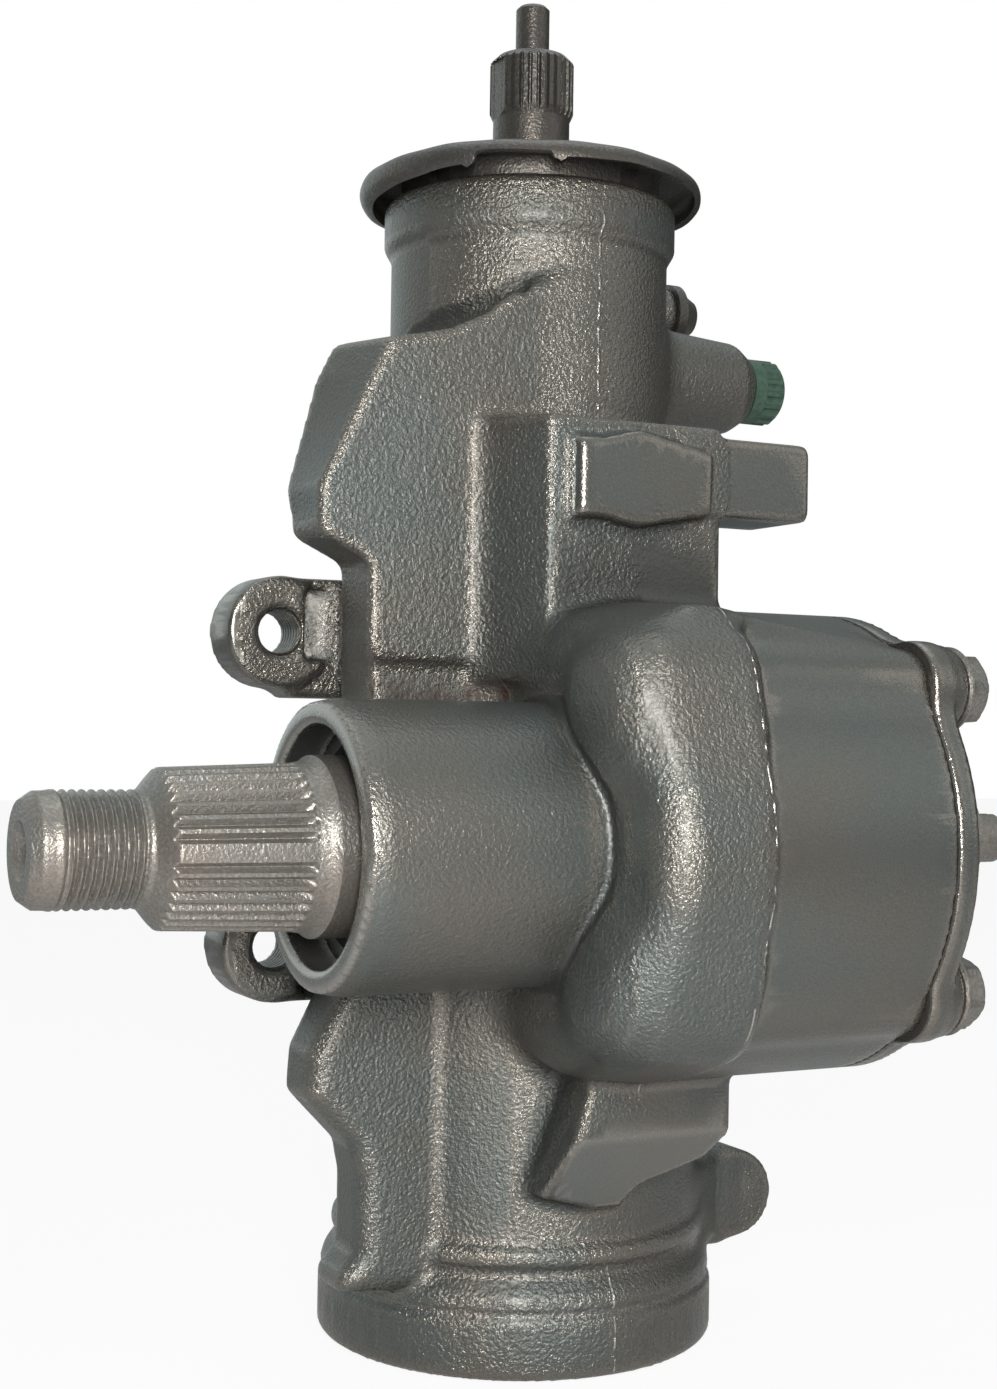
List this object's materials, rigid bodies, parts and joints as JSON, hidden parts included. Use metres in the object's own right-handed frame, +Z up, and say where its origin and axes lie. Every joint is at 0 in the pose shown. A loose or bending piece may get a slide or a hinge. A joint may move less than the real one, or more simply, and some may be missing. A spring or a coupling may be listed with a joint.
{
  "type": "steering gearbox",
  "caption": "Power steering gearbox: a cast housing with an input shaft and a rotary valve, a ball-screw rack piston, and a splined sector shaft out of its side.",
  "frame": {"origin": "centre of the round bottom face, on the worm axis", "axes": "+Z up the worm axis to the input shaft; -X along the sector shaft to its output end; the sector axis passes in front of the worm axis, towards -Y"},
  "size_m": [0.2221, 0.1441, 0.301],
  "materials": {
    "painted_casting": "semi-gloss",
    "painted_steel": "semi-gloss",
    "bare_steel": "ground",
    "dark_steel": "oiled",
    "bronze": "plain",
    "seal_rubber": "matt",
    "green_plastic": "moulded",
    "black_plastic": "moulded"
  },
  "bodies": {
    "housing": {"gear_housing": "painted_casting", "side_cover": "painted_casting", "dust_shield": "painted_casting", "side_cover_bolts": "painted_steel", "lash_adjuster_locknut": "painted_steel", "lash_adjuster_screw": "painted_steel", "adjuster_plug": "painted_steel", "adjuster_locknut": "painted_steel", "lash_adjuster_shim": "bare_steel", "sector_needle_bearing": "bare_steel", "seal_backup_washer": "bare_steel", "sector_seal_retaining_ring": "bare_steel", "end_plug_retaining_ring": "bare_steel", "lower_fixed_race": "bare_steel", "lower_thrust_bearing": "bare_steel", "upper_thrust_bearing": "bare_steel", "upper_fixed_race": "bare_steel", "adjuster_needle_bearing": "bare_steel", "stub_seal_retaining_ring": "bare_steel", "end_plug": "dark_steel", "side_cover_bush": "bronze", "pressure_port_seat": "bronze", "return_port_seat": "bronze", "end_plug_seal": "seal_rubber", "side_cover_gasket": "seal_rubber", "sector_inner_seal": "seal_rubber", "sector_outer_seal": "seal_rubber", "stub_shaft_seal": "seal_rubber", "stub_dust_seal": "seal_rubber", "pressure_port_plug": "green_plastic", "return_port_plug": "black_plastic"},
    "worm": {"worm_shaft": "bare_steel", "lower_turning_race": "bare_steel", "valve_body": "bare_steel", "valve_body_rings": "seal_rubber", "upper_turning_race": "bare_steel"},
    "piston": {"rack_piston": "bare_steel", "piston_ring": "seal_rubber", "rack_piston_plug": "dark_steel", "recirculating_balls": "bare_steel", "ball_return_guide": "bare_steel", "guide_clamp": "bare_steel", "guide_clamp_screws": "dark_steel"},
    "sector": {"sector_shaft": "painted_steel"},
    "stub": {"stub_shaft": "painted_steel", "spool_valve": "dark_steel", "spool_drive_pin": "bare_steel", "torsion_bar": "bare_steel"}
  },
  "joints": [
    {"name": "worm_turn", "type": "hinge", "parent": "housing", "child": "worm", "pos_m": [0, 0, 0.15], "axis": [0, 0, 1], "range_deg": [-603, 603]},
    {"name": "rack_piston_slide", "type": "slide", "parent": "housing", "child": "piston", "axis": [0, 0, 1], "range_m": [-0.0213, 0.0213]},
    {"name": "sector_shaft_turn", "type": "hinge", "parent": "housing", "child": "sector", "pos_m": [0, -0.05, 0.11159], "axis": [1, 0, 0], "range_deg": [-43, 43]},
    {"name": "stub_shaft_twist", "type": "hinge", "parent": "worm", "child": "stub", "pos_m": [0, 0, 0.25], "axis": [0, 0, 1], "range_deg": [-7, 7], "stiffness_Nm_per_rad": 2}
  ],
  "couplings": [
    {"joint": "worm_turn", "follows": "rack_piston_slide", "rad_per_m": -490.87},
    {"joint": "sector_shaft_turn", "follows": "rack_piston_slide", "rad_per_m": 35.088}
  ]
}
